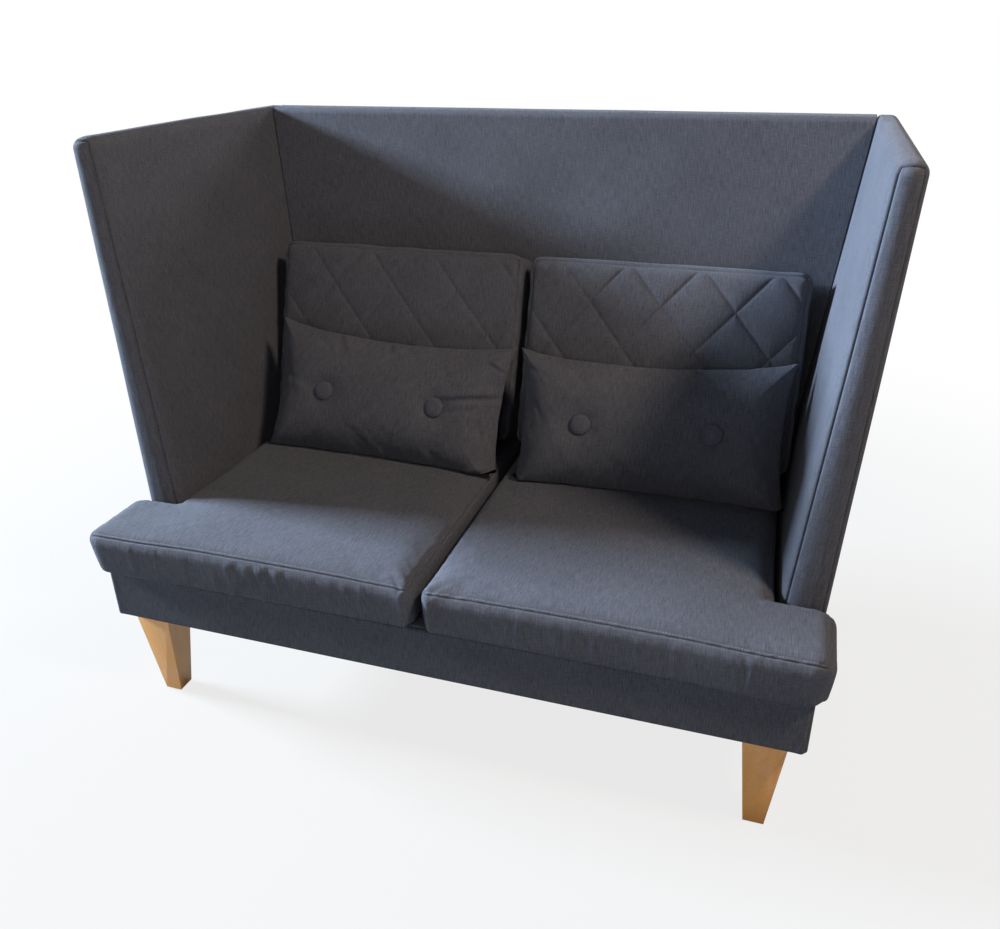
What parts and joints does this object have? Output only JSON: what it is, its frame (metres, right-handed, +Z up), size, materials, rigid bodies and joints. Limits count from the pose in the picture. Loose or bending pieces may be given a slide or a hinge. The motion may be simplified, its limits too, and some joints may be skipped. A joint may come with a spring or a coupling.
{
  "type": "high-back sofa",
  "caption": "High-back sofa with tall flared side wings, an upholstered base on tapered wooden legs, and loose seat, quilted back and buttoned lumbar cushions.",
  "frame": {"origin": "on the floor, under the middle of the bounding box", "axes": "+X to the right when looking at the front, +Y towards the back, +Z up; the sofa faces -Y"},
  "size_m": [1.5306, 0.9526, 1.19],
  "materials": {
    "weave": "matte",
    "leg_wood": "satin",
    "frame_wood": "matte",
    "board": "matte",
    "foam": "matte",
    "wadding": "matte",
    "webbing": "matte",
    "lining": "matte",
    "glide_felt": "matte",
    "steel": "satin"
  },
  "bodies": {
    "frame": {"back_board": "board", "back_bolts": "steel", "back_cover": "weave", "back_foam": "foam", "back_foot_rail": "frame_wood", "back_left_post": "frame_wood", "back_middle_rail": "frame_wood", "back_right_post": "frame_wood", "back_top_rail": "frame_wood", "base_centre_rail": "frame_wood", "base_corner_blocks": "frame_wood", "base_cover": "weave", "base_front_rail": "frame_wood", "base_left_rail": "frame_wood", "base_rear_rail": "frame_wood", "base_right_rail": "frame_wood", "base_wadding": "wadding", "corner_bolts": "steel", "dust_cover": "lining", "leg_bolts": "steel", "leg_front_left": "leg_wood", "leg_front_right": "leg_wood", "leg_glides": "glide_felt", "leg_rear_left": "leg_wood", "leg_rear_right": "leg_wood", "leg_tee_nuts": "steel", "seat_deck_pad": "foam", "seat_webbing": "webbing", "wing_bolts": "steel", "wing_left_board": "board", "wing_left_cover": "weave", "wing_left_foam": "foam", "wing_left_foot_rail": "frame_wood", "wing_left_front_band": "weave", "wing_left_front_post": "frame_wood", "wing_left_rear_post": "frame_wood", "wing_left_top_rail": "frame_wood", "wing_right_board": "board", "wing_right_cover": "weave", "wing_right_foam": "foam", "wing_right_foot_rail": "frame_wood", "wing_right_front_band": "weave", "wing_right_front_post": "frame_wood", "wing_right_rear_post": "frame_wood", "wing_right_top_rail": "frame_wood"},
    "seat_cushion_left": {"seat_cushion_left_core": "foam", "seat_cushion_left_cover": "weave"},
    "seat_cushion_right": {"seat_cushion_right_core": "foam", "seat_cushion_right_cover": "weave"},
    "back_cushion_left": {"back_cushion_left_core": "foam", "back_cushion_left_cover": "weave"},
    "back_cushion_right": {"back_cushion_right_core": "foam", "back_cushion_right_cover": "weave"},
    "lumbar_left": {"lumbar_left_buttons": "weave", "lumbar_left_core": "foam", "lumbar_left_cover": "weave"},
    "lumbar_right": {"lumbar_right_buttons": "weave", "lumbar_right_core": "foam", "lumbar_right_cover": "weave"}
  },
  "joints": [
    {"name": "seat_cushion_left_slide", "type": "slide", "parent": "frame", "child": "seat_cushion_left", "axis": [0, -1, 0], "range_m": [0, 0.8]},
    {"name": "seat_cushion_right_slide", "type": "slide", "parent": "frame", "child": "seat_cushion_right", "axis": [0, -1, 0], "range_m": [0, 0.8]},
    {"name": "back_cushion_left_lift", "type": "slide", "parent": "frame", "child": "back_cushion_left", "axis": [0, 0, 1], "range_m": [0, 0.75]},
    {"name": "back_cushion_right_lift", "type": "slide", "parent": "frame", "child": "back_cushion_right", "axis": [0, 0, 1], "range_m": [0, 0.75]},
    {"name": "lumbar_left_lift", "type": "slide", "parent": "back_cushion_left", "child": "lumbar_left", "axis": [0, -0.9511, 0.309], "range_m": [0, 0.7]},
    {"name": "lumbar_right_lift", "type": "slide", "parent": "back_cushion_right", "child": "lumbar_right", "axis": [0, -0.9511, 0.309], "range_m": [0, 0.7]}
  ]
}
